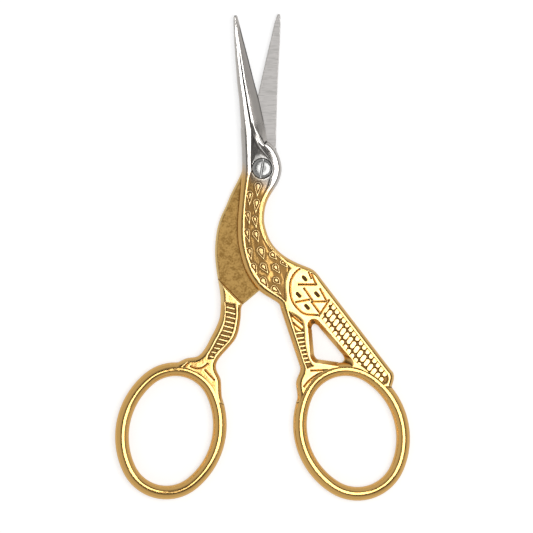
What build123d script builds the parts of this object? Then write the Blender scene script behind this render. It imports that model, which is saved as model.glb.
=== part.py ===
from build123d import *

import os
from math import acos, atan2, cos, degrees, hypot, pi, radians, sin, tan

# Stork embroidery scissors, lying open and flat. Z points up, Y along the blades to their tips.
# The origin is on the pivot axis, in the plane that the scissors rest on.
# The front half is the upper one: its blade is the stork's bill and it carries the stork.
# The rear half is the lower one: its blade, plate and leg lie behind the stork.

# Lengths in millimetres
blade_length = 28.0  # pivot axis to either tip
blade_width = 4.2  # where a blade leaves its boss
edge_land = 0.18  # thickness left along a cutting edge
stork_length = 36.0  # pivot axis to the stork's feet, measured down the scissors
wire = 2.5  # thickness of the round finger rings
front_bore_long = 20.3
front_bore_wide = 15.7
rear_bore_long = 19.9
rear_bore_wide = 14.9
body_thickness = 2.3  # both halves together, between the rings and the boss
edge_round = 1.0  # how far the rounded rims reach in from the outline
relief_depth = 0.26  # how far the stork's fields lie below their rims
relief_slope = 0.3  # how far the walls of those fields lean
boss_pad_radius = 3.3  # flat pad under the rear boss that the scissors rest on
pivot_gap = 0.04  # between the mating faces of the two halves
screw_radius = 1.0
pivot_clearance = 0.04  # of the screw in the front half, in radius
head_radius = 1.76
head_rim = 0.3  # height of the straight side of the screw's head
head_dome = 0.38
head_seat_depth = 0.34  # depth of the head's counterbore
head_clearance = 0.1
head_play = 0.02  # under the head, so that the halves turn
slot_width = 0.46
slot_depth = 0.42
screw_end_chamfer = 0.16
screw_end_inset = 0.06  # the screw's end lies inside the boss
feather_lip = 0.15  # width and height of the raised line round each feather
feather_core = 0.34  # how far inside a feather's outline its raised middle starts
feather_depth = 0.12
rib_width = 0.34
rib_height = 0.2
scale_pitch = 1.01  # from one tail feather to the next down the tail
scale_spread = 1.57  # from one row of tail feathers to the next across the tail
scale_length = 1.62
scale_width = 1.02
scale_height = 0.22
groove_floor = 0.06  # width of a groove's floor
groove_depth = 0.2
dent_length = 1.2  # of the wing's slanting dents
dent_width = 0.56
dent_depth = 0.18
plate_bevel_width = 0.42  # along the edge of the rear plate's inner face
plate_bevel_depth = 0.14
step_round = 0.5  # rounding of the edge where a half gets its full thickness
overrun = 1.0  # how far a cutter reaches past what it cuts

# Angles in degrees
front_blade_angle = 9.8  # to the left of the Y axis
rear_blade_angle = 6.2  # to the right of it
front_shank_angle = 18.8  # of the ring on the right
rear_shank_angle = 19.15  # of the ring on the left
front_ring_tilt = 17.2
rear_ring_tilt = 12.6
slot_lean = 9.0
wing_dent_lean = -48.0
wing_dent_tilt = -12.0
groove_lean = 42.0  # of a groove's walls
scale_turn = 107.0  # of the tail feathers, from the tail's own direction
scale_lean = 32.0  # of the sides of the tail feathers
rib_lean = 8.0
rear_rib_lean = -14.0
# Where the outlines leave the rings and run inside their wire, from the ring's end next to the pivot
front_foot_angle = -51.0
front_inside_angles = (-46.0, -32.0, -18.0, -4.0, 10.0, 25.0, 40.0, 56.0)
front_tail_angle = 64.0
rear_plate_angle = -17.0
rear_inside_angles = (-14.0, -2.0, 10.0, 22.0, 36.0, 50.0)
rear_leg_angle = 57.0

# Counts
scale_rows = 3

# Shares of the sizes named beside them
shank_share = 1.389  # from the pivot to the centre of a finger ring, of the stork's length
ring_end_share = 0.85  # radius of a ring's ends, of its half width
blade_spine_shares = [(0.0, 0.38), (0.035, 0.7), (0.13, 0.92), (0.27, 0.985)]  # in from the spine, height
blade_crest_share = 0.15  # from a blade's ridge to the end of its crest, of its width
blade_valley_shares = (0.1, 0.86)  # line between crest and ridge: from the ridge, height
blade_bevel_shares = (0.5, 0.57)  # middle of the bevel, from the edge to the ridge
groove_over_share = 0.25  # how far a groove's cutter stands out of the face, of the groove's depth
corner_share = 0.3  # sine of the bend from which two lines of an outline meet in a corner
bevel_out_share = 0.5  # how far outside the plate its bevel starts, of the bevel's width
scale_start_shares = (0.1, 0.6)  # first feather of even and odd rows down the tail, of the pitch
scale_edge_share = 0.13  # first row from the field's edge, of the spread
head_lean_share = 0.35  # how far the side of the screw's dome leans in
# How high and how far in each step of a rounded rim lies, of its reach
round_shares = [(0.0, 0.0), (0.04, 0.3), (0.16, 0.58), (0.38, 0.81), (0.68, 0.95), (1.0, 1.0)]
round_height_share = 0.92  # height of a rounded rim, of its reach
# Reach of the rounded rim on each side of an outline, of edge_round
front_reach_shares = [1.0, 1.0, 1.0, 0.0, 0.0, 0.0, 1.0, 1.0, 0.85, 0.0, 0.15, 0.0]
rear_reach_shares = [0.9, 0.0, 0.0, 0.0, 0.9, 0.5, 0.6, 0.2]

# Blade stations: along, of the blade's length; spine, edge and ridge, of its width; height, of its half
front_blade_shares = [
    (0.14, 0.71, -0.43, -0.27, 1.0),
    (0.185, 0.67, -0.432, -0.1, 1.0),
    (0.236, 0.622, -0.43, 0.0, 1.0),
    (0.3, 0.573, -0.418, 0.042, 1.0),
    (0.37, 0.525, -0.395, 0.044, 0.99),
    (0.46, 0.465, -0.365, 0.052, 0.96),
    (0.56, 0.43, -0.30, 0.072, 0.9),
    (0.72, 0.33, -0.22, 0.06, 0.78),
    (0.85, 0.237, -0.145, 0.05, 0.66),
    (0.95, 0.15, -0.10, 0.0275, 0.54),
    (0.99, 0.10, -0.075, 0.014, 0.47),
    (1.0, 0.06, -0.045, 0.009, 0.4),
]
rear_blade_shares = [
    (0.14, 0.50, -0.50, 0.05, 1.0),
    (0.27, 0.42, -0.52, 0.0, 1.0),
    (0.38, 0.36, -0.53, -0.04, 0.99),
    (0.47, 0.315, -0.505, -0.054, 0.96),
    (0.55, 0.275, -0.45, -0.05, 0.9),
    (0.71, 0.21, -0.33, -0.033, 0.78),
    (0.82, 0.175, -0.235, -0.01, 0.66),
    (0.935, 0.12, -0.145, 0.001, 0.54),
    (0.98, 0.09, -0.085, 0.011, 0.47),
    (1.0, 0.05, -0.04, 0.0095, 0.4),
]

# Outlines, of the stork's length, counter-clockwise from above with the pivot at the origin
front_back_shares = [  # neck, back of the body and thigh, on the left
    (-0.107, 0.2025), (-0.1045, 0.16), (-0.1025, 0.1175), (-0.1, 0.0425), (-0.1, -0.0175),
    (-0.11, -0.1075), (-0.115, -0.1575), (-0.12, -0.2075), (-0.124, -0.2675), (-0.124, -0.3325),
    (-0.119, -0.3825), (-0.1085, -0.4325), (-0.094, -0.4825), (-0.0735, -0.5325), (-0.0425, -0.58),
    (-0.0125, -0.6125), (0.015, -0.6325), (0.065, -0.6625), (0.0835, -0.6765), (0.0925, -0.7),
]
front_leg_shares = [(0.0925, -0.7), (0.19, -0.9925)]
front_foot_shares = [
    (0.19, -0.9925), (0.1905, -1.006), (0.1865, -1.0225), (0.1755, -1.0475), (0.1695, -1.0725),
    (0.1715, -1.0975),
]
front_tail_end_shares = [(0.6585, -1.0575), (0.6595, -1.032), (0.645, -1.0075)]
front_tail_shares = [(0.645, -1.0075), (0.30, -0.5575)]
front_breast_shares = [  # shoulder, breast, neck and boss, on the right
    (0.30, -0.5575), (0.28, -0.5305), (0.258, -0.5085), (0.225, -0.492), (0.19, -0.4785),
    (0.155, -0.4625), (0.12, -0.4425), (0.09, -0.42), (0.065, -0.395), (0.045, -0.3675),
    (0.03, -0.3375), (0.02, -0.3075), (0.0125, -0.2775), (0.01, -0.2475), (0.0125, -0.2175),
    (0.018, -0.1875), (0.0285, -0.1575), (0.045, -0.1275), (0.065, -0.0975), (0.0825, -0.0675),
    (0.0945, -0.0325), (0.0985, -0.0025), (0.095, 0.0275), (0.085, 0.0625), (0.07, 0.0925),
    (0.05, 0.1175), (0.0275, 0.135),
]
front_notch_shares = [(0.0275, 0.135), (0.012, 0.114)]
front_crest_shares = [(0.012, 0.114), (-0.012, 0.139), (-0.035, 0.168), (-0.057, 0.2025)]
front_top_shares = [(-0.057, 0.2025), (-0.107, 0.2025)]
rear_plate_shares = [  # boss, plate and leg, on the left
    (-0.03, 0.135), (-0.05, 0.1175), (-0.07, 0.0925), (-0.085, 0.0625), (-0.095, 0.0275),
    (-0.101, -0.0125), (-0.1125, -0.0425), (-0.13, -0.0775), (-0.16, -0.1375), (-0.185, -0.1975),
    (-0.20, -0.2275), (-0.215, -0.2675), (-0.225, -0.3075), (-0.2315, -0.3525), (-0.235, -0.4075),
    (-0.2325, -0.4675), (-0.225, -0.5275), (-0.2165, -0.5775), (-0.21, -0.6175), (-0.2065, -0.6625),
    (-0.2075, -0.7075), (-0.2125, -0.7475), (-0.225, -0.7825), (-0.24, -0.815), (-0.2575, -0.8475),
    (-0.275, -0.8825), (-0.2925, -0.91), (-0.31, -0.93), (-0.33, -0.9415), (-0.36, -0.9455),
    (-0.39, -0.9535), (-0.415, -0.9665),
]
rear_leg_shares = [  # front of the leg, on the right, upwards
    (-0.203, -1.1075), (-0.204, -1.0775), (-0.2085, -1.0475), (-0.22, -1.025),
    (-0.228, -1.005), (-0.23, -0.985), (-0.2225, -0.9625), (-0.205, -0.9375), (-0.18, -0.91),
    (-0.1575, -0.885), (-0.1375, -0.86), (-0.1235, -0.8325), (-0.114, -0.7975), (-0.1075, -0.7575),
    (-0.105, -0.7225), (-0.1035, -0.6975), (-0.095, -0.68),
]
rear_corner_shares = [(-0.095, -0.68), (-0.015, -0.6125)]
rear_breast_shares = [  # the edge that the stork hides
    (-0.015, -0.6125), (0.0065, -0.5825), (0.0155, -0.5375), (0.0125, -0.4875), (-0.0025, -0.4275),
    (-0.0175, -0.3675), (-0.0225, -0.3075), (-0.0175, -0.2475), (-0.005, -0.1975), (0.02, -0.1475),
    (0.05, -0.0975), (0.073, -0.0475), (0.082, 0.0025), (0.08, 0.0425), (0.0725, 0.0925),
    (0.071, 0.15),
]
rear_top_shares = [(0.071, 0.15), (0.005, 0.152), (-0.03, 0.135)]

# The window between leg and tail, at mid thickness and at the faces, as sides of a loop
window_mid_shares = [
    [(0.25, -0.8075), (0.26, -0.9175)],
    [(0.26, -0.9175), (0.263, -0.935), (0.2725, -0.949), (0.29, -0.955)],
    [(0.29, -0.955), (0.38, -0.9675)],
    [(0.38, -0.9675), (0.40, -0.9675), (0.41, -0.955), (0.4075, -0.94), (0.395, -0.9225)],
    [(0.395, -0.9225), (0.2875, -0.7975)],
    [(0.2875, -0.7975), (0.274, -0.7825), (0.26, -0.7785), (0.251, -0.7875), (0.25, -0.8075)],
]
window_face_shares = [
    [(0.229, -0.7975), (0.24, -0.9275)],
    [(0.24, -0.9275), (0.244, -0.95), (0.2575, -0.9665), (0.28, -0.9725)],
    [(0.28, -0.9725), (0.39, -0.99)],
    [(0.39, -0.99), (0.425, -0.9965), (0.4525, -0.99), (0.455, -0.965), (0.44, -0.9425)],
    [(0.44, -0.9425), (0.2925, -0.7725)],
    [(0.2925, -0.7725), (0.2725, -0.755), (0.25, -0.7515), (0.2325, -0.765), (0.229, -0.7975)],
]

# Sunken fields inside the rims, of the stork's length
body_field_shares = [
    [
        (-0.045, 0.01), (-0.066, -0.045), (-0.0755, -0.1075), (-0.083, -0.1575), (-0.087, -0.2125),
        (-0.089, -0.2725), (-0.088, -0.3325), (-0.082, -0.3925), (-0.07, -0.4425), (-0.0525, -0.4875),
        (-0.03, -0.53), (0.0, -0.57), (0.04, -0.6075), (0.09, -0.6425), (0.12, -0.67),
    ],
    [(0.12, -0.67), (0.1225, -0.6325), (0.118, -0.5875), (0.124, -0.545), (0.1475, -0.4975)],
    [
        (0.1475, -0.4975), (0.1125, -0.4635), (0.0825, -0.4345), (0.053, -0.4045), (0.0265, -0.37),
        (0.0055, -0.3275), (-0.0075, -0.2825), (-0.011, -0.2325), (-0.005, -0.1875), (0.01, -0.1475),
        (0.03, -0.11), (0.0425, -0.08), (0.048, -0.05), (0.042, 0.0),
    ],
    [(0.042, 0.0), (-0.045, 0.01)],
]
leg_field_shares = [
    [
        (0.13, -0.7125), (0.15, -0.7775), (0.1725, -0.8475), (0.195, -0.9175), (0.2125, -0.9725),
        (0.225, -1.0025),
    ],
    [(0.225, -1.0025), (0.262, -0.9875)],
    [
        (0.262, -0.9875), (0.236, -0.9525), (0.2235, -0.9075), (0.2155, -0.8475), (0.212, -0.7825),
        (0.2065, -0.76),
    ],
    [(0.2065, -0.76), (0.165, -0.725), (0.13, -0.7125)],
]
tail_field_shares = [
    [(0.2925, -0.745), (0.455, -0.9575)],
    [(0.455, -0.9575), (0.53, -1.016), (0.6085, -1.08)],
    [(0.6085, -1.08), (0.6315, -1.069), (0.6335, -1.041), (0.6225, -1.02)],
    [(0.6225, -1.02), (0.3475, -0.66)],
    [(0.3475, -0.66), (0.2925, -0.745)],
]
rear_leg_field_shares = [
    [
        (-0.187, -0.665), (-0.183, -0.71), (-0.186, -0.755), (-0.197, -0.796), (-0.213, -0.829),
        (-0.2325, -0.865), (-0.2525, -0.9), (-0.27, -0.93), (-0.275, -0.955),
    ],
    [(-0.275, -0.955), (-0.24, -0.955)],
    [
        (-0.24, -0.955), (-0.222, -0.92), (-0.19, -0.89), (-0.165, -0.862), (-0.147, -0.83),
        (-0.136, -0.79), (-0.128, -0.75), (-0.125, -0.71), (-0.132, -0.675),
    ],
    [(-0.132, -0.675), (-0.187, -0.665)],
]
plate_field_shares = [  # on the underside of the rear plate
    [
        (-0.068, -0.115), (-0.098, -0.165), (-0.128, -0.215), (-0.156, -0.27), (-0.178, -0.335),
        (-0.189, -0.405), (-0.187, -0.475), (-0.179, -0.54), (-0.172, -0.59), (-0.168, -0.632),
    ],
    [(-0.168, -0.632), (-0.105, -0.632)],
    [
        (-0.105, -0.632), (-0.055, -0.59), (-0.03, -0.545), (-0.03, -0.49), (-0.044, -0.43),
        (-0.059, -0.37), (-0.064, -0.31), (-0.058, -0.25), (-0.043, -0.195), (-0.02, -0.145),
        (-0.008, -0.122),
    ],
    [(-0.008, -0.122), (-0.068, -0.115)],
]
boss_field_shares = [
    [
        (-0.055, 0.2225), (-0.0575, 0.1425), (-0.0585, 0.0675), (-0.0575, 0.0025), (-0.0475, -0.0375),
        (-0.02, -0.065), (0.015, -0.0675), (0.0475, -0.0425), (0.06, -0.0025), (0.0475, 0.04),
        (0.0175, 0.0775), (-0.02, 0.1225), (-0.0425, 0.1725), (-0.055, 0.2225),
    ],
]

# Feathers of the neck and body: place of the round end and of the point, then the width
feather_shares = [
    (-0.02, -0.086, -0.025, -0.145, 0.036), (-0.061, -0.128, -0.0625, -0.19, 0.033),
    (-0.0265, -0.168, -0.0325, -0.2275, 0.034), (-0.0715, -0.226, -0.0625, -0.285, 0.030),
    (-0.036, -0.25, -0.0275, -0.3025, 0.030), (-0.0765, -0.316, -0.0625, -0.375, 0.032),
    (-0.031, -0.325, -0.0175, -0.3725, 0.036), (-0.0635, -0.409, -0.0525, -0.46, 0.032),
    (-0.0065, -0.409, 0.01, -0.4575, 0.041), (0.0515, -0.43, 0.075, -0.4575, 0.033),
    (0.1025, -0.4685, 0.135, -0.5, 0.027), (-0.043, -0.4865, -0.0225, -0.535, 0.032),
    (0.005, -0.4875, 0.0325, -0.5275, 0.034), (0.067, -0.492, 0.09, -0.5275, 0.034),
    (0.004, -0.559, 0.035, -0.60, 0.038), (0.07, -0.557, 0.0925, -0.58, 0.033),
    (0.06, -0.5995, 0.10, -0.6325, 0.034),
]

# Rows of feathers on the underside: place of the first round end, places in the row
back_feather_shares = [
    (-0.038, -0.14, 1), (-0.0595, -0.2, 2), (-0.083, -0.265, 2), (-0.0855, -0.335, 3),
    (-0.078, -0.405, 3), (-0.066, -0.475, 3), (-0.066, -0.545, 3),
]
back_feather_step_shares = (-0.041, -0.006)  # from one feather to the next in a row
back_feather_size_shares = (-0.004, -0.05, 0.031)  # from round end to point, then the width

# Grooves of the wing, its dents, the thigh's lines and the foot's lines, of the stork's length
wing_arc_shares = [
    (0.19, -0.5), (0.16, -0.5275), (0.1425, -0.5625), (0.139, -0.6025), (0.1425, -0.6375),
    (0.155, -0.67), (0.18, -0.7025), (0.21, -0.725), (0.2375, -0.7305), (0.28, -0.7325),
]
wing_line_shares = [
    [(0.2325, -0.5175), (0.245, -0.5475)],
    [(0.2475, -0.525), (0.27, -0.58)],
    [(0.1825, -0.58), (0.2625, -0.58)],
    [(0.21, -0.6), (0.25, -0.6575)],
    [(0.29, -0.6025), (0.3225, -0.6625)],
    [(0.25, -0.665), (0.3175, -0.665)],
    [(0.17, -0.6675), (0.235, -0.655)],
    [(0.2475, -0.6675), (0.29, -0.725)],
    [(0.335, -0.6575), (0.285, -0.735)],
]
wing_dent_shares = [(0.2125, -0.55), (0.1825, -0.6325), (0.275, -0.63), (0.225, -0.6925)]
thigh_line_shares = [
    [(0.1225, -0.6925), (0.2125, -0.7575)],
    [(0.13, -0.72), (0.2075, -0.7825)],
    [(0.1425, -0.7625), (0.2, -0.8075)],
]
front_foot_line_shares = [
    [(0.245, -1.01), (0.325, -1.0075)],
    [(0.2075, -1.0925), (0.235, -1.06), (0.32, -1.0125)],
]
rear_foot_line_shares = [
    [(-0.36, -0.9875), (-0.305, -0.9975), (-0.27, -0.9725)],
    [(-0.285, -1.0075), (-0.24, -1.055)],
    [(-0.395, -0.9975), (-0.37, -0.9725)],
]

# Ribs of the legs: middle of the rib and its length, of the stork's length
front_rib_shares = [
    (0.1875, -0.8225, 0.045), (0.195, -0.8475, 0.047), (0.1985, -0.8675, 0.045), (0.2055, -0.8875, 0.043),
    (0.2095, -0.908, 0.041), (0.215, -0.928, 0.04), (0.2215, -0.948, 0.04), (0.2325, -0.9665, 0.042),
]
rear_rib_shares = [
    (-0.158, -0.6975, 0.045), (-0.157, -0.722, 0.05), (-0.1555, -0.746, 0.05), (-0.158, -0.77, 0.052),
    (-0.164, -0.793, 0.054), (-0.1715, -0.8155, 0.055), (-0.181, -0.8375, 0.055), (-0.192, -0.859, 0.054),
    (-0.204, -0.88, 0.052), (-0.2175, -0.901, 0.048), (-0.233, -0.922, 0.044), (-0.247, -0.943, 0.036),
]

# Where the full thickness of a half ends, as a line that its mating face stops at
front_step_shares = [(0.0975, -0.6875), (0.22, -0.4675)]
rear_step_shares = [(-0.21, -0.5625), (-0.095, -0.6775)]

# Levels that follow from the sizes
body_low = (wire - body_thickness) / 2
body_high = body_low + body_thickness
middle = wire / 2
shank_length = shank_share * stork_length
mating_low = middle - pivot_gap / 2
mating_high = middle + pivot_gap / 2
front_layer = body_high - mating_high
rear_layer = mating_low - body_low
head_seat = body_high - head_seat_depth
field_level = body_high - relief_depth


def fused(shapes):
    return shapes[0].fuse(*shapes[1:])


def turned_over(shape):
    # The same shape on the other face
    return mirror(shape, about=Plane.XY.offset(middle))


def scaled(points):
    return [(x * stork_length, y * stork_length) for x, y in points]


def turned(length, angle):
    # A point at this distance from the pivot, the angle counted from the Y axis to the right
    return (length * sin(radians(angle)), length * cos(radians(angle)))


def side(points, z):
    places = [(x, y, z) for x, y in points]
    return Line(*places) if len(places) == 2 else Spline(*places)


def loop_wire(sides, z):
    return Wire([side(points, z) for points in sides])


def loop_solid(lower, upper, z_low, z_high):
    # A solid between two loops with the same sides
    return Solid.make_loft([loop_wire(lower, z_low), loop_wire(upper, z_high)], ruled=True)


def inset(sides, reaches, depth):
    # The loop moved inwards, each side by its own share of the depth
    starts = [0]
    ring = []
    pulls = []
    for points, reach in zip(sides, reaches):
        ring += points[:-1]
        pulls += [reach * depth] * (len(points) - 1)
        starts.append(len(ring))
    count = len(ring)
    moved = []
    for i in range(count):
        before, here, after = ring[i - 1], ring[i], ring[(i + 1) % count]
        ax, ay = here[0] - before[0], here[1] - before[1]
        bx, by = after[0] - here[0], after[1] - here[1]
        na, nb = hypot(ax, ay), hypot(bx, by)
        ax, ay, bx, by = -ay / na, ax / na, -by / nb, bx / nb
        da, db = pulls[i - 1], pulls[i]
        cross = ax * by - ay * bx
        if abs(cross) > corner_share:
            moved.append((here[0] + (da * by - db * ay) / cross, here[1] + (db * ax - da * bx) / cross))
        else:
            mean = (da + db) / (1 + ax * bx + ay * by)
            moved.append((here[0] + mean * (ax + bx) / 2, here[1] + mean * (ay + by) / 2))
    moved.append(moved[0])
    return [moved[a : b + 1] for a, b in zip(starts, starts[1:])]


def rounded_slab(sides, reaches, z_low, z_high):
    # A slab whose outline is rounded towards both faces
    height = edge_round * round_height_share
    steps = []
    for reach, rise in round_shares[::-1]:
        steps.append((reach * edge_round, z_low + height * (1 - rise)))
    for reach, rise in round_shares:
        steps.append((reach * edge_round, z_high - height * (1 - rise)))
    wires = [loop_wire(inset(sides, reaches, depth), z) for depth, z in steps]
    return Solid.make_loft(wires, ruled=True)


def ring_place(bore_long, bore_wide, tilt, centre, angle, outwards=0):
    # A point of a ring's middle line, the angle counted from the end next to the pivot, to the right
    long_half, wide_half = (bore_long + wire) / 2 + outwards, (bore_wide + wire) / 2 + outwards
    along, across = long_half * cos(radians(angle)), wide_half * sin(radians(angle))
    c, s = cos(radians(tilt)), sin(radians(tilt))
    return (centre[0] - along * s + across * c, centre[1] + along * c + across * s)


def finger_ring(bore_long, bore_wide, tilt, centre):
    # Round wire along an oval of four arcs
    long_half, wide_half = (bore_long + wire) / 2, (bore_wide + wire) / 2
    end_radius = ring_end_share * wide_half
    end_centre = long_half - end_radius
    side_radius = (end_centre**2 + wide_half**2 - end_radius**2) / (2 * (wide_half - end_radius))
    side_centre = side_radius - wide_half
    join = degrees(atan2(side_centre, end_centre))
    arcs = [
        CenterArc((end_centre, 0, 0), end_radius, -join, 2 * join),
        CenterArc((0, -side_centre, 0), side_radius, join, 180 - 2 * join),
        CenterArc((-end_centre, 0, 0), end_radius, 180 - join, 2 * join),
        CenterArc((0, side_centre, 0), side_radius, 180 + join, 180 - 2 * join),
    ]
    path = Wire(arcs)
    section = Plane(origin=path @ 0, z_dir=path % 0) * Circle(wire / 2)
    place = Location((centre[0], centre[1], middle), (0, 0, 90 + tilt))
    return place * sweep(section, path=path)


def blade(stations, angle, spine_sign, face, rise):
    # Flat inner face, rounded spine, crest, narrow valley, ridge and bevel down to the edge
    along = Vector(sin(radians(angle)), cos(radians(angle)), 0)
    across = Vector(spine_sign * along.Y, -spine_sign * along.X, 0)
    valley_share, valley_height = blade_valley_shares
    in_share, up_share = blade_bevel_shares
    wires = []
    for length_share, *side_shares, height_share in stations:
        spine, edge, ridge = (share * blade_width for share in side_shares)
        width, height = spine - edge, height_share * abs(rise)

        def at(offset, level):
            spot = along * (length_share * blade_length) + across * offset
            return Vector(spot.X, spot.Y, face + level * rise / abs(rise))

        crest = at(ridge + blade_crest_share * width, height)
        valley = at(ridge + valley_share * width, valley_height * height)
        bevel = at(edge + in_share * (ridge - edge), edge_land + up_share * (height - edge_land))
        rounded = [at(spine - inward * width, up * height) for inward, up in blade_spine_shares]
        wires.append(
            Wire(
                [
                    Line(at(spine, 0), rounded[0]),
                    Spline(*rounded, crest),
                    Line(crest, valley),
                    Line(valley, at(ridge, height)),
                    ThreePointArc(at(ridge, height), bevel, at(edge, edge_land)),
                    Line(at(edge, edge_land), at(edge, 0)),
                    Line(at(edge, 0), at(spine, 0)),
                ]
            )
        )
    return Solid.make_loft(wires, ruled=True)


def step_cutter(points, mating, face):
    # A block on the pivot's side of a step line, from the mating level out past the face
    (x0, y0), (x1, y1) = scaled(points)
    run = hypot(x1 - x0, y1 - y0)
    lean = degrees(atan2(y1 - y0, x1 - x0))
    out = 1 if face > mating else -1
    far = face + out * overrun
    bend = face - out * step_round
    outline = Wire(
        [
            Line((0, 0, mating), (0, 0, bend)),
            ThreePointArc(
                (0, 0, bend),
                (0, -step_round * (1 - cos(pi / 4)), face - out * step_round * (1 - sin(pi / 4))),
                (0, -step_round, face),
            ),
            Line((0, -step_round, face), (0, -step_round, far)),
            Line((0, -step_round, far), (0, stork_length, far)),
            Line((0, stork_length, far), (0, stork_length, mating)),
            Line((0, stork_length, mating), (0, 0, mating)),
        ]
    )
    block = Solid.extrude(Face(outline), Vector(run + 2 * stork_length, 0, 0))
    return Location((x0, y0, 0), (0, 0, lean)) * Pos(-stork_length, 0, 0) * block


def field(sides):
    # What is sunk into the upper face inside a rim, with leaning walls
    loop = [scaled(points) for points in sides]
    inner = inset(loop, [1] * len(loop), relief_slope)
    outer = inset(loop, [1] * len(loop), -relief_slope * overrun / relief_depth)
    return loop_solid(inner, outer, field_level, body_high + overrun)


def field_prism(sides):
    # Keeps what stands in a field inside it
    loop = [scaled(points) for points in sides]
    return loop_solid(loop, loop, field_level - relief_depth, body_high)


def feather(x0, y0, x1, y1, width_share, grow, z_low, z_high):
    # A drop with a round end and a point, grown alike on all sides
    base = width_share * stork_length / 2
    radius = base + grow
    x0, y0, x1, y1 = (value * stork_length for value in (x0, y0, x1, y1))
    length = hypot(x1 - x0, y1 - y0) * radius / base
    lean = atan2(y1 - y0, x1 - x0)
    opening = acos(radius / length)
    first, last = lean + opening, lean - opening

    def at(turn, reach):
        return (x0 + reach * cos(turn), y0 + reach * sin(turn), z_low)

    tip = at(lean, length)
    outline = Wire(
        [
            Line(tip, at(first, radius)),
            ThreePointArc(at(first, radius), at(lean + pi, radius), at(last, radius)),
            Line(at(last, radius), tip),
        ]
    )
    return Solid.extrude(Face(outline), Vector(0, 0, z_high - z_low))


def groove(points, z_top):
    # A line cut with leaning walls: straight with leaning ends, or along a curve
    places = scaled(points)
    height = (1 + groove_over_share) * groove_depth
    if len(places) == 2:
        (x0, y0), (x1, y1) = places
        floor = Rectangle(hypot(x1 - x0, y1 - y0), groove_floor)
        place = Location(((x0 + x1) / 2, (y0 + y1) / 2, z_top - groove_depth))
        lean = degrees(atan2(y1 - y0, x1 - x0))
        return place * Rot(0, 0, lean) * extrude(floor, height, taper=-groove_lean)
    path = side(places, z_top)
    tangent = path % 0
    low = groove_floor / 2
    high = low + height * tan(radians(groove_lean))
    start = Plane(origin=path @ 0, x_dir=(-tangent.Y, tangent.X, 0), z_dir=tangent)
    top = height - groove_depth
    section = Polygon((-low, -groove_depth), (low, -groove_depth), (high, top), (-high, top), align=None)
    return sweep(start * section, path=path)


def rib(x, y, length_share, lean, z_low, z_high):
    shape = SlotCenterToCenter(max(length_share * stork_length - rib_width, rib_width), rib_width)
    place = Location((x * stork_length, y * stork_length, z_low), (0, 0, lean))
    return place * extrude(shape, z_high - z_low)


def tail_scales():
    # Rows of rounded slanting feathers down the tail, every other row shifted by half a feather
    (x0, y0), (x1, y1) = scaled([tail_field_shares[3][1], tail_field_shares[3][0]])
    run = hypot(x1 - x0, y1 - y0)
    lean = degrees(atan2(y1 - y0, x1 - x0))
    shape = Rot(0, 0, scale_turn) * SlotOverall(scale_length, scale_width)
    bump = extrude(shape, scale_height, taper=scale_lean)
    scales = []
    for row in range(scale_rows):
        for place in range(int(run / scale_pitch) + 1):
            along = (place + scale_start_shares[row % 2]) * scale_pitch
            aside = -(row + scale_edge_share) * scale_spread
            spot = Location((x0, y0, field_level), (0, 0, lean)) * Location((along, aside, 0))
            scales.append(spot * bump)
    return fused(scales) & field_prism(tail_field_shares)


front_centre = turned(shank_length, 180 - front_shank_angle)
front_ring = (front_bore_long, front_bore_wide, front_ring_tilt, front_centre)
rear_centre = turned(shank_length, 180 + rear_shank_angle)
rear_ring = (rear_bore_long, rear_bore_wide, -rear_ring_tilt, rear_centre)


def front_outline():
    inside = [ring_place(*front_ring, angle) for angle in front_inside_angles]
    foot = scaled(front_foot_shares) + [ring_place(*front_ring, front_foot_angle, wire / 2)]
    tail = [ring_place(*front_ring, front_tail_angle, wire / 2)] + scaled(front_tail_end_shares)
    return [
        scaled(front_back_shares),
        scaled(front_leg_shares),
        foot,
        [foot[-1], inside[0]],
        inside,
        [inside[-1], tail[0]],
        tail,
        scaled(front_tail_shares),
        scaled(front_breast_shares),
        scaled(front_notch_shares),
        scaled(front_crest_shares),
        scaled(front_top_shares),
    ]


def rear_outline():
    inside = [ring_place(*rear_ring, angle) for angle in rear_inside_angles]
    plate = scaled(rear_plate_shares) + [ring_place(*rear_ring, rear_plate_angle, wire / 2)]
    leg = [ring_place(*rear_ring, rear_leg_angle, wire / 2)] + scaled(rear_leg_shares)
    return [
        plate,
        [plate[-1], inside[0]],
        inside,
        [inside[-1], leg[0]],
        leg,
        scaled(rear_corner_shares),
        scaled(rear_breast_shares),
        scaled(rear_top_shares),
    ]


def dent(x, y):
    # A small slanting dent of the wing, deepest at its upper end
    shape = extrude(SlotOverall(dent_length, dent_width), dent_depth + overrun)
    place = Pos(x * stork_length, y * stork_length, body_high - dent_depth)
    return place * Rot(0, 0, wing_dent_lean) * Rot(0, wing_dent_tilt, 0) * shape


def plate_cutter(sides):
    # What lies above the rear plate, with a narrow slanting strip along the plate's outline
    below = (1 + bevel_out_share) * plate_bevel_depth
    wide = inset(sides, rear_reach_shares, -bevel_out_share * plate_bevel_width)
    narrow = inset(sides, rear_reach_shares, plate_bevel_width)
    plate = loop_solid(wide, narrow, mating_low - below, mating_low)
    return step_cutter(rear_step_shares, mating_low - below, body_high) - plate


def ribs_across(places, lean, sides):
    # Ribs laid across a sunken field
    low, high = field_level - rib_height, field_level + rib_height
    return fused([rib(*spot, lean, low, high) for spot in places]) & field_prism(sides)


def feathers(places):
    # The raised lips of a group of feathers, the hollows inside them and the middles of those
    low = field_level - feather_depth
    lips = [feather(*spot, 0, low, field_level + feather_lip) for spot in places]
    hollows = [feather(*spot, -feather_lip, low, body_high + overrun) for spot in places]
    cores = [feather(*spot, -feather_core, low - feather_depth, field_level) for spot in places]
    return lips, hollows, cores


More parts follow.
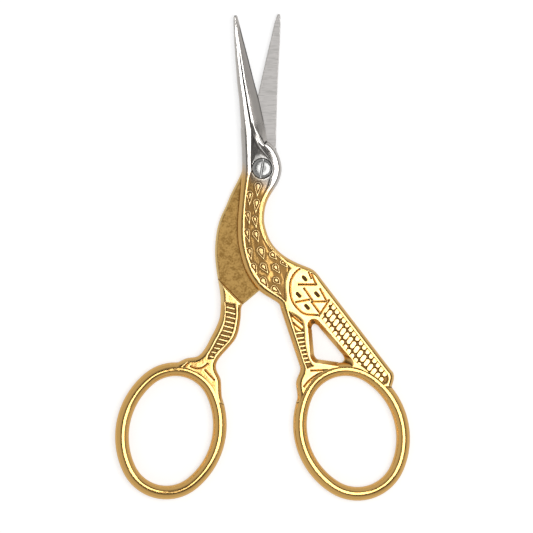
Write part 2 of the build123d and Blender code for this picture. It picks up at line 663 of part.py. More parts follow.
def back_feathers():
    places = []
    step_x, step_y = back_feather_step_shares
    tip_x, tip_y, width = back_feather_size_shares
    for x, y, count in back_feather_shares:
        for i in range(count):
            left, top = x + i * step_x, y + i * step_y
            places.append((left, top, left + tip_x, top + tip_y, width))
    return places


def make_front_half():
    half = rounded_slab(front_outline(), front_reach_shares, body_low, body_high)
    mid = [scaled(points) for points in window_mid_shares]
    face = [scaled(points) for points in window_face_shares]
    half -= loop_solid(mid, face, middle, body_high)
    half -= loop_solid(face, mid, body_low, middle)
    leg, tail = field(leg_field_shares), field(tail_field_shares)
    half -= [field(body_field_shares), leg, tail, turned_over(leg), turned_over(tail)]
    lips, hollows, cores = feathers(feather_shares)
    scales = tail_scales()
    ribs = ribs_across(front_rib_shares, rib_lean, leg_field_shares)
    half = half + lips + [scales, ribs, turned_over(scales), turned_over(ribs)]
    lines = [(wing_arc_shares, body_high)]
    lines += [(line, body_high) for line in wing_line_shares + front_foot_line_shares]
    lines += [(line, field_level) for line in thigh_line_shares]
    grooves = [groove(line, level) for line, level in lines]
    half = half - hollows - grooves - [dent(*spot) for spot in wing_dent_shares] + cores
    half += blade(front_blade_shares, -front_blade_angle, -1, mating_high, front_layer)
    half -= step_cutter(front_step_shares, mating_high, body_low)
    half += finger_ring(*front_ring)
    half -= field(boss_field_shares)
    bore = Pos(0, 0, middle) * Cylinder(screw_radius + pivot_clearance, 2 * wire)
    seat = Pos(0, 0, head_seat) * Cylinder(
        head_radius + head_clearance, overrun, align=(Align.CENTER, Align.CENTER, Align.MIN)
    )
    return half - bore - seat


def make_rear_half():
    sides = rear_outline()
    half = rounded_slab(sides, rear_reach_shares, body_low, body_high)
    leg = field(rear_leg_field_shares)
    half -= [leg, turned_over(leg), turned_over(field(plate_field_shares))]
    lips, hollows, cores = feathers(back_feathers())
    ribs = ribs_across(rear_rib_shares, rear_rib_lean, rear_leg_field_shares)
    half = half + [ribs, turned_over(ribs)] + [turned_over(lip) for lip in lips]
    grooves = [groove(line, body_high) for line in rear_foot_line_shares]
    half = half - grooves - [turned_over(hollow) for hollow in hollows]
    half += [turned_over(core) for core in cores]
    half -= plate_cutter(sides)
    half += blade(rear_blade_shares, rear_blade_angle, 1, mating_low, -rear_layer)
    half += Cylinder(boss_pad_radius, middle / 2, align=(Align.CENTER, Align.CENTER, Align.MIN))
    half += finger_ring(*rear_ring)
    return half - Pos(0, 0, middle) * Cylinder(screw_radius, 2 * wire)


def make_pivot_screw():
    seat = head_seat + head_play
    rim = seat + head_rim
    top = rim + head_dome
    places = [
        (0, 0, top),
        (0, 0, screw_end_inset),
        (screw_radius - screw_end_chamfer, 0, screw_end_inset),
        (screw_radius, 0, screw_end_inset + screw_end_chamfer),
        (screw_radius, 0, seat),
        (head_radius, 0, seat),
        (head_radius, 0, rim),
    ]
    lines = [Line(first, last) for first, last in zip(places, places[1:])]
    dome = Spline((head_radius, 0, rim), (0, 0, top), tangents=[(-head_lean_share, 0, 1), (-1, 0, 0)])
    screw = revolve(Face(Wire(lines + [dome])), Axis.Z)
    slot = Box(
        slot_width, 3 * head_radius, slot_depth + overrun, align=(Align.CENTER, Align.CENTER, Align.MIN)
    )
    return screw - Pos(0, 0, top - slot_depth) * Rot(0, 0, -slot_lean) * slot


def save(shape, name):
    solids = shape.solids()
    print(name, "solids", len(solids), "volume", round(sum(solid.volume for solid in solids), 1))
    export_step(solids[0] if len(solids) == 1 else Compound(solids), f"parts/{name}.step")


os.makedirs("parts", exist_ok=True)
save(make_pivot_screw(), "pivot_screw")
save(make_rear_half(), "rear_half")
save(make_front_half(), "front_half")
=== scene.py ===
import math

import bmesh
import bpy
import numpy
from mathutils import Matrix, Vector


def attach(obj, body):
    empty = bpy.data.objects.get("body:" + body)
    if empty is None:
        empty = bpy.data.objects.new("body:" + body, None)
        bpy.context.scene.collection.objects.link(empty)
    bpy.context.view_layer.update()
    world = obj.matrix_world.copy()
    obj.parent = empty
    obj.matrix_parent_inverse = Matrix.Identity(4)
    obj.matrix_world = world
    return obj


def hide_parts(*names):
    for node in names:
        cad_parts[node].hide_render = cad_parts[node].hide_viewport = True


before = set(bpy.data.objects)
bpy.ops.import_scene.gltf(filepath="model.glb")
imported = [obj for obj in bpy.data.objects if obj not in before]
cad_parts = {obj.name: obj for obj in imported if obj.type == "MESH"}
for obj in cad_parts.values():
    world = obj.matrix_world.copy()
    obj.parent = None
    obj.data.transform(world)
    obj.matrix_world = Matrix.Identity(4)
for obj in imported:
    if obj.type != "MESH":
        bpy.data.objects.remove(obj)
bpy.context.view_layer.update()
print("frame loaded")

black = (0, 0, 0, 1)
white = (1, 1, 1, 1)
noiseMiddle = 0.5  # noise textures run evenly about it


class Net:
    # Adds nodes to a node tree; inputs are named, or numbered as i0, i1 and so on
    def __init__(self, tree):
        self.tree = tree

    def add(self, kind, settings=None, **inputs):
        node = self.tree.nodes.new(kind)
        for name, value in (settings or {}).items():
            setattr(node, name, value)
        for name, value in inputs.items():
            self.put(node, name, value)
        return node

    def put(self, node, name, value):
        if name[0] == "i" and name[1:].isdigit():
            socket = node.inputs[int(name[1:])]
        else:
            socket = node.inputs[name.replace("_", " ")]
        if isinstance(value, bpy.types.NodeSocket):
            self.tree.links.new(value, socket)
        else:
            socket.default_value = value

    def math(self, operation, first, second=0.0):
        node = self.add("ShaderNodeMath", {"operation": operation}, i0=first, i1=second)
        return node.outputs[0]

    def plus(self, first, second):
        return self.math("ADD", first, second)

    def minus(self, first, second):
        return self.math("SUBTRACT", first, second)

    def times(self, first, second):
        return self.math("MULTIPLY", first, second)

    def mixColour(self, share, first, second):
        settings = {"data_type": "RGBA", "clamp_factor": True}
        return self.add("ShaderNodeMix", settings, i0=share, i6=first, i7=second).outputs[2]

    def mixValue(self, share, first, second):
        settings = {"data_type": "FLOAT", "clamp_factor": True}
        return self.add("ShaderNodeMix", settings, i0=share, i2=first, i3=second).outputs[0]

    def ramp(self, value, low, high, toLow=0.0, toHigh=1.0):
        # A soft step from toLow to toHigh
        settings = {"interpolation_type": "SMOOTHSTEP", "clamp": True}
        node = self.add("ShaderNodeMapRange", settings, i0=value, i1=low, i2=high, i3=toLow, i4=toHigh)
        return node.outputs[0]

    def mark(self, name):
        # What a piece's points say of themselves, and 0 on a piece without that attribute
        return self.add("ShaderNodeAttribute", {"attribute_name": name}).outputs["Fac"]


def newGroup(name, sizes, outputs):
    # A node group that reads a vector and named sizes, and puts out values
    group = bpy.data.node_groups.new(name, "ShaderNodeTree")
    group.interface.new_socket("Vector", in_out="INPUT", socket_type="NodeSocketVector")
    for label in sizes:
        group.interface.new_socket(label, in_out="INPUT", socket_type="NodeSocketFloat")
    for label in outputs:
        group.interface.new_socket(label, in_out="OUTPUT", socket_type="NodeSocketFloat")
    return group, group.nodes.new("NodeGroupInput"), group.nodes.new("NodeGroupOutput")


platedValues = {
    "rippleDetail": 2.0,
    "markDetail": 4.0,
}


def platedGroup(values):
    # Small unevenness of cast and plated metal: soft ripples and fine polishing marks
    group, entry, leave = newGroup("platedSurface", ("Ripple Size", "Mark Size"), ("Ripple", "Marks"))
    net = Net(group)
    where, rippleSize, markSize = (entry.outputs[name] for name in ("Vector", "Ripple Size", "Mark Size"))
    ripple = net.add("ShaderNodeTexNoise", Vector=where, Scale=rippleSize, Detail=values["rippleDetail"])
    marks = net.add("ShaderNodeTexNoise", Vector=where, Scale=markSize, Detail=values["markDetail"])
    group.links.new(ripple.outputs[0], leave.inputs["Ripple"])
    group.links.new(marks.outputs[0], leave.inputs["Marks"])
    return group


groundValues = {
    "lineTurn": 0.15,  # of the grinding lines, in radians
    "lineStretch": (0.09, 1.0, 1.0),
    "lineDetail": 3.0,
    "lineWave": 0.6,
    "lineEdges": (0.4, 0.68),
    "grainDetail": 4.0,
    "grainEdges": (0.3, 0.7),
}


def groundGroup(values):
    # Fine lines that a wheel leaves across a ground face, and the grain of its plating
    group, entry, leave = newGroup("groundSurface", ("Line Size", "Grain Size"), ("Lines", "Grain"))
    net = Net(group)
    where, lineSize, grainSize = (entry.outputs[name] for name in ("Vector", "Line Size", "Grain Size"))
    stretched = net.add("ShaderNodeMapping", Vector=where)
    stretched.inputs["Rotation"].default_value = (0, 0, values["lineTurn"])
    stretched.inputs["Scale"].default_value = values["lineStretch"]
    lines = net.add(
        "ShaderNodeTexNoise",
        Vector=stretched.outputs[0],
        Scale=lineSize,
        Detail=values["lineDetail"],
        Distortion=values["lineWave"],
    )
    grain = net.add("ShaderNodeTexNoise", Vector=where, Scale=grainSize, Detail=values["grainDetail"])
    group.links.new(net.ramp(lines.outputs[0], *values["lineEdges"]), leave.inputs["Lines"])
    group.links.new(net.ramp(grain.outputs[0], *values["grainEdges"]), leave.inputs["Grain"])
    return group


platedSurface = platedGroup(platedValues)
groundSurface = groundGroup(groundValues)

metalValues = {
    "goldColour": (0.87, 0.52, 0.165, 1.0),
    "goldPaintedHighlight": (1.0, 0.71, 0.31, 1.0),  # a painted highlight on edges and crests
    # painted shade for grooves, hollows and the dark lines
    "goldPaintedGrooveShade": (0.12, 0.055, 0.014, 1.0),
    "goldRoughness": 0.13,
    "steelColour": (0.68, 0.64, 0.60, 1.0),
    # a painted highlight on the steel's edges and crests
    "steelPaintedHighlight": (0.74, 0.72, 0.69, 1.0),
    # painted shade for the steel's grooves and dark lines
    "steelPaintedGrooveShade": (0.03, 0.027, 0.025, 1.0),
    "steelRoughness": 0.16,
    "mattGoldColour": (0.50, 0.31, 0.10, 1.0),  # the matt colours are those of the ground faces
    "mattGoldDark": (0.30, 0.17, 0.045, 1.0),
    "mattSteelColour": (0.55, 0.53, 0.515, 1.0),
    "mattSteelDark": (0.44, 0.425, 0.41, 1.0),
    "mattRoughness": 0.55,
    "fieldPaintedShade": 0.12,  # how much painted shade darkens the sunken fields
    # the same painted shade on the steel fields
    "steelFieldPaintedShade": 0.62,
    "fieldHollow": 0.88,  # how much of the painted groove shade is left in the fields
    # how strongly the painted groove shade is laid on
    "grooveShare": 0.9,
    "grooveEdges": (0.06, 0.32),
    "crestEdges": (0.15, 0.7),
    "fieldRoughness": 0.08,  # these four come on top of the plain roughness
    "crestRoughness": 0.08,
    "grooveRoughness": 0.2,
    "bevelRoughness": 0.14,
    "roughnessSpread": 0.08,
    "rippleSize": 800.0,
    "markSize": 2500.0,
    "markShare": 0.1,
    "bump": 0.16,
    "bumpDistance": 0.0001,
    "lineSize": 5200.0,
    "grainSize": 3000.0,
    "blotchGrain": 0.35,
    "blotchEdges": (0.5, 0.95),
    "platingEnd": (-0.00385, 0.0),  # where the plating ends at the left rim
    "platingFall": 0.727,  # how steeply that line falls to the right
    "platingSoftness": 0.002,
    "platingWobble": 0.0008,
}


def metalMaterial(name, values):
    # Gold plating that fades into bare steel across the pivot, with the matt ground inner faces
    material = bpy.data.materials.new(name)
    material.use_nodes = True
    net = Net(material.node_tree)
    shader = material.node_tree.nodes["Principled BSDF"]
    shader.inputs["Metallic"].default_value = 1.0
    where = net.add("ShaderNodeTexCoord").outputs["Object"]
    surface = net.add(
        "ShaderNodeGroup",
        {"node_tree": platedSurface},
        Vector=where,
        Ripple_Size=values["rippleSize"],
        Mark_Size=values["markSize"],
    )
    grinding = net.add(
        "ShaderNodeGroup",
        {"node_tree": groundSurface},
        Vector=where,
        Line_Size=values["lineSize"],
        Grain_Size=values["grainSize"],
    )
    ripple, marks = surface.outputs["Ripple"], surface.outputs["Marks"]
    lines, grain = grinding.outputs["Lines"], grinding.outputs["Grain"]

    # Steel above a slanting line, gold below it
    parts = net.add("ShaderNodeSeparateXYZ", Vector=where)
    endX, endY = values["platingEnd"]
    fall = net.times(net.minus(parts.outputs[0], endX), values["platingFall"])
    above = net.plus(fall, net.minus(parts.outputs[1], endY))
    above = net.plus(above, net.times(net.minus(ripple, noiseMiddle), values["platingWobble"]))
    steel = net.ramp(above, -values["platingSoftness"], values["platingSoftness"])

    # Fields, crests and grooves of the relief, with painted shade in fields and grooves and a painted
    # highlight on crests
    field = net.mark("field")
    cavity = net.mark("cavity")
    crest = net.ramp(net.times(cavity, -1.0), *values["crestEdges"])
    groove = net.ramp(cavity, *values["grooveEdges"])
    groove = net.times(groove, net.mixValue(field, 1.0, values["fieldHollow"]))
    # the blade's painted dark lines join the grooves' painted shade
    groove = net.math("MAXIMUM", groove, net.mark("line"))

    polished = net.mixColour(steel, values["goldColour"], values["steelColour"])
    # Painted shade: the sunken fields are darkened towards black
    paintedFieldShade = net.mixValue(steel, values["fieldPaintedShade"], values["steelFieldPaintedShade"])
    polished = net.mixColour(net.times(field, paintedFieldShade), polished, black)
    # Painted highlight: the crests are lightened
    paintedHighlight = net.mixColour(steel, values["goldPaintedHighlight"], values["steelPaintedHighlight"])
    polished = net.mixColour(crest, polished, paintedHighlight)
    # Painted shade: the grooves and the dark lines are darkened
    paintedGrooveShade = net.mixColour(steel, values["goldPaintedGrooveShade"], values["steelPaintedGrooveShade"])
    polished = net.mixColour(net.times(groove, values["grooveShare"]), polished, paintedGrooveShade)

    blotch = net.ramp(net.plus(ripple, net.times(grain, values["blotchGrain"])), *values["blotchEdges"])
    mattGold = net.mixColour(blotch, values["mattGoldColour"], values["mattGoldDark"])
    mattSteel = net.mixColour(lines, values["mattSteelColour"], values["mattSteelDark"])
    matt = net.mixColour(steel, mattGold, mattSteel)
    isGround = net.mark("ground")
    net.put(shader, "Base_Color", net.mixColour(isGround, polished, matt))

    rough = net.mixValue(steel, values["goldRoughness"], values["steelRoughness"])
    rough = net.plus(rough, net.times(net.minus(marks, noiseMiddle), values["roughnessSpread"]))
    rough = net.plus(rough, net.times(field, values["fieldRoughness"]))
    rough = net.plus(rough, net.times(crest, values["crestRoughness"]))
    rough = net.plus(rough, net.times(groove, values["grooveRoughness"]))
    rough = net.plus(rough, net.times(net.mark("bevel"), values["bevelRoughness"]))
    net.put(shader, "Roughness", net.mixValue(isGround, rough, values["mattRoughness"]))

    height = net.plus(ripple, net.times(marks, values["markShare"]))
    bump = net.add(
        "ShaderNodeBump", Strength=values["bump"], Distance=values["bumpDistance"], Height=height
    )
    net.put(shader, "Normal", bump.outputs[0])
    return material


metal = metalMaterial("platedMetal", metalValues)
print("materials made")

# How every solid is turned into a mesh with eased edges; lengths in millimetres
meshValues = {
    "scale": 1000.0,  # shaped in millimetres, then brought back to metres
    "mergeDistance": 1e-7,  # in metres
    "voxel": 0.062,
    "smoothing": 2,
    "smoothFactor": 0.5,
    "triangles": 196000,
    "normalWeight": 50,
    "cavitySteps": 16,  # how wide the surroundings are that a point is compared with
    "cavityDepth": 0.05,  # a groove or crest of this depth counts in full
}


def applied(piece):
    # Applies the piece's modifiers
    bpy.context.view_layer.update()
    made = bpy.data.meshes.new_from_object(piece.evaluated_get(bpy.context.evaluated_depsgraph_get()))
    piece.modifiers.clear()
    piece.data = made
    return made


def countTriangles(mesh):
    return sum(len(face.vertices) - 2 for face in mesh.polygons)


def smoothStep(low, high, value):
    # Works with low above high as well, and then falls from 1 to 0
    share = min(max((value - low) / (high - low), 0.0), 1.0)
    return share * share * (3 - 2 * share)


def between(rows, place):
    # What a table of rows says at a place, by its first column, which may rise or fall
    rising = rows[0][0] < rows[-1][0]
    for first, second in zip(rows, rows[1:]):
        reached = place <= second[0] if rising else place >= second[0]
        if reached:
            break
    low, high = (first, second) if rising else (second, first)
    share = (place - low[0]) / (high[0] - low[0])
    return [start + share * (end - start) for start, end in zip(low[1:], high[1:])]


def markCavities(mesh, values):
    # Marks every point by how far it lies under its surroundings: grooves near 1, crests near -1
    count = len(mesh.vertices)
    places = numpy.empty(count * 3)
    mesh.vertices.foreach_get("co", places)
    normals = numpy.empty(count * 3)
    mesh.vertices.foreach_get("normal", normals)
    ends = numpy.empty(len(mesh.edges) * 2, dtype=int)
    mesh.edges.foreach_get("vertices", ends)
    places, normals, ends = places.reshape(-1, 3), normals.reshape(-1, 3), ends.reshape(-1, 2)
    first = numpy.concatenate((ends[:, 0], ends[:, 1]))
    second = numpy.concatenate((ends[:, 1], ends[:, 0]))
    weights = numpy.maximum(numpy.bincount(first, minlength=count), 1)
    smoothed = places.copy()
    for step in range(values["cavitySteps"]):
        sums = [numpy.bincount(first, smoothed[second, axis], minlength=count) for axis in range(3)]
        smoothed = numpy.stack(sums, axis=1) / weights[:, None]
    depth = ((smoothed - places) * normals).sum(axis=1) / values["cavityDepth"]
    attribute = mesh.attributes.new("cavity", "FLOAT", "POINT")
    attribute.data.foreach_set("value", numpy.clip(depth, -1.0, 1.0))


def carved(mesh, carve):
    # Raises or lowers every point by what carve says, and keeps its marks as attributes
    normals = [vertex.normal.copy() for vertex in mesh.vertices]
    rows = []
    for vertex, normal in zip(mesh.vertices, normals):
        rise, *marks = carve(vertex.co, normal)
        vertex.co.z += rise
        rows.append(marks)
    for name, marks in zip(("field", "line", "bevel"), zip(*rows)):
        mesh.attributes.new(name, "FLOAT", "POINT").data.foreach_set("value", marks)


def easedCopy(nodeName, pieceName, values, carve=None):
    # A closed copy of a solid with every edge eased, as casting, polishing and plating leave it
    mesh = bpy.data.meshes.new(pieceName)
    bm = bmesh.new()
    bm.from_mesh(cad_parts[nodeName].data)
    bmesh.ops.remove_doubles(bm, verts=bm.verts, dist=values["mergeDistance"])
    bmesh.ops.recalc_face_normals(bm, faces=bm.faces)
    bmesh.ops.scale(bm, vec=(values["scale"],) * 3, verts=bm.verts)
    bm.to_mesh(mesh)
    bm.free()
    piece = bpy.data.objects.new(pieceName, mesh)
    guide = bpy.data.objects.new(pieceName + "Guide", mesh)
    bpy.context.scene.collection.objects.link(piece)
    bpy.context.scene.collection.objects.link(guide)
    remesh = piece.modifiers.new("remesh", "REMESH")
    remesh.mode = "VOXEL"
    remesh.voxel_size = values["voxel"]
    remesh.use_smooth_shade = True
    wrap = piece.modifiers.new("wrap", "SHRINKWRAP")
    wrap.target = guide
    wrap.wrap_method = "NEAREST_SURFACEPOINT"
    smooth = piece.modifiers.new("smooth", "SMOOTH")
    smooth.factor = values["smoothFactor"]
    smooth.iterations = values["smoothing"]
    made = applied(piece)
    bpy.data.objects.remove(guide)
    if carve:
        carved(made, carve)
    made.update()
    markCavities(made, values)
    decimate = piece.modifiers.new("decimate", "DECIMATE")
    decimate.ratio = min(1.0, values["triangles"] / countTriangles(made))
    weighted = piece.modifiers.new("weighted", "WEIGHTED_NORMAL")
    weighted.mode = "FACE_AREA"
    weighted.weight = values["normalWeight"]
    made = applied(piece)
    made.name = pieceName
    made.transform(Matrix.Scale(1 / values["scale"], 4))
    for face in made.polygons:
        face.use_smooth = True
    print(pieceName, "triangles", countTriangles(made))
    return piece


# The rear half's ground inner face, and the bevel along the left side of its plate, which gets a painted
# highlight, in metres
rearValues = {
    "faceHeights": (0.00112, 0.0013),  # the face lies between them
    "faceUp": 0.97,  # and is where the Z of a point's normal is above this
    "bevelHeight": 0.0008,  # the bevel lies above this
    "bevelEnds": (-0.024, -0.0005),  # and between these, along Y
    "bevelLeft": -0.2,  # where the X of a point's normal is below this
    "bevelUp": 0.25,  # and its Z above this
}


def markGround(piece, values):
    mesh = piece.data
    attribute = mesh.attributes.new("ground", "FLOAT", "POINT")
    cavity = mesh.attributes["cavity"].data
    low, high = values["faceHeights"]
    start, end = values["bevelEnds"]
    for vertex in mesh.vertices:
        place, normal = vertex.co, vertex.normal
        isFace = normal.z > values["faceUp"] and low < place.z < high
        leans = normal.x < values["bevelLeft"] and normal.z > values["bevelUp"]
        isBevel = leans and place.z > values["bevelHeight"] and start < place.y < end
        attribute.data[vertex.index].value = 1.0 if isFace else 0.0
        # the bevel is marked as a full crest, which gives it the painted highlight
        if isBevel:
            cavity[vertex.index].value = -1.0
        elif isFace:
            cavity[vertex.index].value = 0.0


rearPiece = easedCopy("rear_half", "rearHalf", meshValues)
markGround(rearPiece, rearValues)

# The front half's own carving, in millimetres
frontValues = {
    "field": {  # the sunken field of boss, neck and body
        "rows": [  # place along Y, left edge, right edge, rise of the floor to the right
            (8.0, -2.0, -1.9, 0.0),
            (6.0, -2.05, -0.9, 0.1),
            (3.0, -2.1, 0.9, 0.22),
            (0.0, -2.05, 1.9, 0.24),
            (-2.0, -2.3, 1.6, 0.2),
            (-3.9, -2.7, 1.0, 0.14),
            (-5.7, -3.0, 0.15, 0.12),
            (-8.0, -3.15, -0.35, 0.1),
            (-10.5, -3.2, -0.25, 0.1),
            (-12.5, -3.1, 0.4, 0.12),
            (-15.0, -2.8, 2.2, 0.16),
            (-17.0, -2.1, 4.3, 0.16),
            (-20.0, -0.3, 4.3, 0.04),
            (-23.5, 3.0, 4.4, 0.0),
        ],
        "floor": 2.14,  # heights of its floor, of the crest round it and of the screw's seat
        "rim": 2.4,
        "seat": 2.08,
        "seatRadius": 1.95,
        "underSeat": 0.12,  # nothing lower than this under the seat is moved
        "wallStart": 0.12,  # over the floor
        "margin": 0.01,
        "fade": (0.25, 0.45),  # how far outside its edges the field fades out
        "crestStart": (0.8, 2.0),  # along Y, where the crest on its right falls towards it
        "crestEnd": (4.9, 3.4),
        "crestReach": 0.95,
        "crestInsideShare": -0.6,  # of the reach, how far the fall goes on into the field
        "crestDrop": 0.04,
    },
    "blade": {  # the upper side of the blade
        "lean": 9.8,  # in degrees
        "rows": [  # place along the blade, way to its spine and to its edge, share of the height
            (6.6, 2.61, -1.81, 1.0),
            (8.4, 2.41, -1.76, 1.0),
            (10.36, 2.205, -1.66, 0.99),
            (12.88, 1.953, -1.533, 0.96),
            (15.68, 1.806, -1.26, 0.9),
            (20.16, 1.386, -0.924, 0.78),
            (23.8, 0.995, -0.609, 0.66),
            (26.6, 0.63, -0.42, 0.54),
        ],
        "profile": [  # share of the way from spine to edge, share of the height
            (0.13, 0.92),
            (0.2, 1.0),
            (0.345, 0.96),
            (0.38, 0.8),
            (0.425, 0.97),
            (0.5, 0.945),
        ],
        "innerFace": 1.27,  # its height
        "height": 1.13,  # of the blade, over the inner face
        "edgeLand": 0.18,
        "bevelBend": 0.78,  # 1 makes the bevel flat, and less rounds it
        "bevelFade": 0.12,
        "stretch": 0.15,  # how much wider the crest gets towards the boss
        "stretchEnds": (12.5, 8.0),
        "start": (6.4, 9.2),  # where the blade's shape takes over from the boss
        "tipFade": 1.5,
        "lineEnds": (22.0, 18.5),  # where the painted dark reflection line fades out towards the tip
        "lineShares": (0.35, 0.415),
        "lineSoftness": 0.015,
        "edgeShadowLine": 0.24,  # width of the painted shadow line along the edge
        "upward": 0.2,  # only points whose normal's Z is above this are moved
    },
}


def carveField(place, values):
    # Lets the floor lean, deepest along its left edge, and the crest on its right fall towards it;
    # returns the rise and a mark for the field
    rows = values["rows"]
    if not rows[-1][0] < place.y < rows[0][0] or place.z < values["seat"] - values["underSeat"]:
        return 0.0, 0.0
    left, right, rise = between(rows, place.y)
    raised = smoothStep(values["floor"] + values["wallStart"], values["rim"] - values["margin"], place.z)
    apart = (place.x - right) / values["crestReach"]
    drop = 0.0
    if values["crestInsideShare"] < apart < 1.0:
        part = smoothStep(*values["crestStart"], place.y) * smoothStep(*values["crestEnd"], place.y)
        drop = values["crestDrop"] * part * raised * (1 - apart) ** 2
    across = min(max((place.x - left) / (right - left), 0.0), 1.0)
    near, far = values["fade"]
    inside = 1 - raised
    inside *= 1 - smoothStep(right + near, right + far, place.x)
    inside *= smoothStep(left - far, left - near, place.x)
    if math.hypot(place.x, place.y) < values["seatRadius"]:
        inside *= smoothStep(values["seat"] - values["margin"], values["floor"] - values["margin"], place.z)
    return rise * across * (2 - across) * inside - drop, inside


def carveBlade(place, normal, values):
    # Gives the blade its crest, the groove of its dark line, its ridge and rounded bevel; returns the rise
    # and marks for the painted dark lines (a painted dark reflection along that groove, a painted shadow
    # along the edge) and the bevel
    lean = math.radians(values["lean"])
    along = place.y * math.cos(lean) - place.x * math.sin(lean)
    across = -place.x * math.cos(lean) - place.y * math.sin(lean)
    rows, profile = values["rows"], values["profile"]
    if not values["start"][0] < along < rows[-1][0] or normal.z < values["upward"]:
        return 0.0, 0.0, 0.0
    spine, edge, height = between(rows, along)
    height *= values["height"]
    inward = (spine - across) / (spine - edge)
    if not profile[0][0] < inward < 1.0:
        return 0.0, 0.0, 0.0
    weight = smoothStep(*values["start"], along)
    weight *= smoothStep(rows[-1][0], rows[-1][0] - values["tipFade"], along)
    cut = smoothStep(*values["lineEnds"], along)
    stretch = 1 + values["stretch"] * smoothStep(*values["stretchEnds"], along)
    rimPlace, topPlace, endPlace = profile[0][0], profile[1][0], profile[-1][0]
    topLevel, endLevel = profile[1][1], profile[-1][1]
    ridge = rimPlace + (endPlace - rimPlace) * stretch
    if inward < ridge:
        inward = rimPlace + (inward - rimPlace) / stretch
        level = between(profile, inward)[0]
        if inward > topPlace:
            plain = topLevel + (inward - topPlace) / (endPlace - topPlace) * (endLevel - topLevel)
            level = plain + cut * (level - plain)
        level *= height
        bevel = 0.0
    else:
        part = (inward - ridge) / (1 - ridge)
        inward = 1.0
        bend = values["bevelBend"]
        start = height * endLevel
        level = start - (start - values["edgeLand"]) * part * (bend + (1 - bend) * part)
        bevel = smoothStep(0.0, values["bevelFade"], part)
    # the painted dark lines: a painted dark reflection along the groove and a painted shadow along the edge
    low, high = values["lineShares"]
    soft = values["lineSoftness"]
    line = cut * smoothStep(low - soft, low, inward) * smoothStep(high + soft, high, inward)
    line = max(line, smoothStep(edge + values["edgeShadowLine"], edge + values["edgeShadowLine"] / 2, across))
    return (values["innerFace"] + level - place.z) * weight, line * weight, bevel * weight


def carveFront(place, normal):
    fieldRise, field = carveField(place, frontValues["field"])
    bladeRise, line, bevel = carveBlade(place, normal, frontValues["blade"])
    return fieldRise + bladeRise, field, line, bevel


frontPiece = easedCopy("front_half", "frontHalf", meshValues, carveFront)
for piece, body, node in ((rearPiece, "rear", "rear_half"), (frontPiece, "front", "front_half")):
    piece.data.materials.append(metal)
    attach(piece, body)
    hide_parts(node)

# The screw: finer in its mesh, and the same bare steel all over
screwValues = {
    "mesh": dict(
        meshValues, voxel=0.035, smoothing=3, triangles=60000, cavitySteps=30, cavityDepth=0.06
    ),
    "metal": dict(
        metalValues,
        # on the screw too, the crest colours are a painted highlight and the groove colour painted shade
        goldColour=(0.4, 0.4, 0.39, 1.0),
        goldPaintedHighlight=(0.5, 0.5, 0.49, 1.0),
        goldPaintedGrooveShade=metalValues["steelPaintedGrooveShade"],
        goldRoughness=0.27,
        steelColour=(0.4, 0.4, 0.39, 1.0),
        steelPaintedHighlight=(0.5, 0.5, 0.49, 1.0),
        steelRoughness=0.27,
    ),
}
screwPiece = easedCopy("pivot_screw", "pivotScrew", screwValues["mesh"])
screwPiece.data.materials.append(metalMaterial("screwSteel", screwValues["metal"]))
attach(screwPiece, "rear")
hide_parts("pivot_screw")
print("pieces made")

scene = bpy.context.scene
scene.view_settings.view_transform = "Standard"

# Straight down on the scissors, which lie open
cameraValues = {
    "aim": (0.00081, -0.01764, 0.0015),
    "distance": 0.9,
    "viewWidth": 0.09594,  # how much is seen at that distance
    "sensorWidth": 36.0,
    "clip": (0.01, 20.0),
}
aim = Vector(cameraValues["aim"])
cameraData = bpy.data.cameras.new("camera")
cameraData.sensor_width = cameraValues["sensorWidth"]
cameraData.lens = cameraData.sensor_width * cameraValues["distance"] / cameraValues["viewWidth"]
cameraData.clip_start, cameraData.clip_end = cameraValues["clip"]
camera = bpy.data.objects.new("camera", cameraData)
camera.location = aim + Vector((0, 0, cameraValues["distance"]))
scene.collection.objects.link(camera)
scene.camera = camera

floorValues = {
    "halfSize": 1.5,
    "colour": (0.62, 0.62, 0.62, 1),
    "roughness": 0.9,
    "cameraGlow": 0.58,  # brings the floor to white for the camera
    "mirrorGlow": 0.25,  # and lifts it where metal mirrors it
}
bm = bmesh.new()
bmesh.ops.create_grid(bm, x_segments=1, y_segments=1, size=floorValues["halfSize"])
floorMesh = bpy.data.meshes.new("floor")
bm.to_mesh(floorMesh)
bm.free()
floor = bpy.data.objects.new("floor", floorMesh)
scene.collection.objects.link(floor)
floorMaterial = bpy.data.materials.new("floorPaper")
floorMaterial.use_nodes = True
floorMesh.materials.append(floorMaterial)
net = Net(floorMaterial.node_tree)
shader = floorMaterial.node_tree.nodes["Principled BSDF"]
shader.inputs["Base Color"].default_value = floorValues["colour"]
shader.inputs["Roughness"].default_value = floorValues["roughness"]
shader.inputs["Specular IOR Level"].default_value = 0.0
shader.inputs["Emission Color"].default_value = white
path = net.add("ShaderNodeLightPath").outputs
seen = net.math("MAXIMUM", path["Is Glossy Ray"], path["Is Transmission Ray"])
seen = net.math("MAXIMUM", path["Is Camera Ray"], seen)
cameraGlow = net.times(path["Is Camera Ray"], floorValues["cameraGlow"])
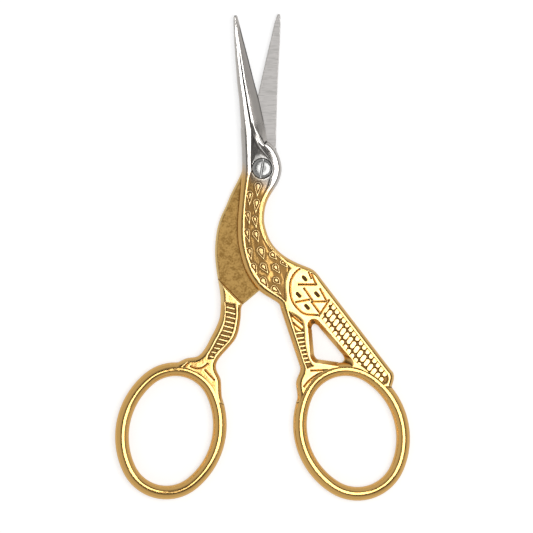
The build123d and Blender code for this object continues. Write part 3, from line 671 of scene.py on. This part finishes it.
mirrorGlow = net.times(net.minus(seen, path["Is Camera Ray"]), floorValues["mirrorGlow"])
net.put(shader, "Emission_Strength", net.plus(cameraGlow, mirrorGlow))

# A softbox to the right of straight up, in a sky that is dark round it and pale further down
lightValues = {
    "softboxAngle": 17.0,  # from straight up, in degrees
    "softboxDistance": 0.6,
    "softboxWide": 0.40,
    "softboxLong": 0.37,
    "softboxPower": 1.7,
    "gapSky": 0.03,  # how bright the gap round the softbox is
    "gapCone": 33.0,  # in degrees from the softbox's direction, as the next two
    "gapSoftness": 4.0,
    "nearCone": 60.0,
    "nearSky": 0.35,
    "farSky": 0.6,
}
lean = math.radians(lightValues["softboxAngle"])
towards = Vector((math.sin(lean), 0, math.cos(lean)))
softboxData = bpy.data.lights.new("softbox", "AREA")
softboxData.shape = "RECTANGLE"
softboxData.size = lightValues["softboxWide"]
softboxData.size_y = lightValues["softboxLong"]
softboxData.energy = lightValues["softboxPower"]
softbox = bpy.data.objects.new("softbox", softboxData)
softbox.location = aim + towards * lightValues["softboxDistance"]
softbox.rotation_euler = (0, lean, 0)
softbox.visible_camera = False
scene.collection.objects.link(softbox)

world = bpy.data.worlds.new("world")
scene.world = world
world.use_nodes = True
net = Net(world.node_tree)
direction = net.add("ShaderNodeTexCoord").outputs["Generated"]
dot = net.add("ShaderNodeVectorMath", {"operation": "DOT_PRODUCT"}, i0=direction, i1=towards)
away = net.times(net.math("ARCCOSINE", dot.outputs["Value"]), math.degrees(1))
gapStart = lightValues["gapCone"] - lightValues["gapSoftness"]
gapEnd = lightValues["gapCone"] + lightValues["gapSoftness"]
further = lightValues["farSky"] - lightValues["nearSky"]
sky = net.ramp(away, gapStart, gapEnd, lightValues["gapSky"], lightValues["nearSky"])
sky = net.plus(sky, net.ramp(away, gapEnd, lightValues["nearCone"], 0.0, further))
path = net.add("ShaderNodeLightPath").outputs
background = world.node_tree.nodes["Background"]
background.inputs["Color"].default_value = white
net.put(background, "Strength", net.mixValue(path["Is Camera Ray"], sky, 1.0))
print("studio made")
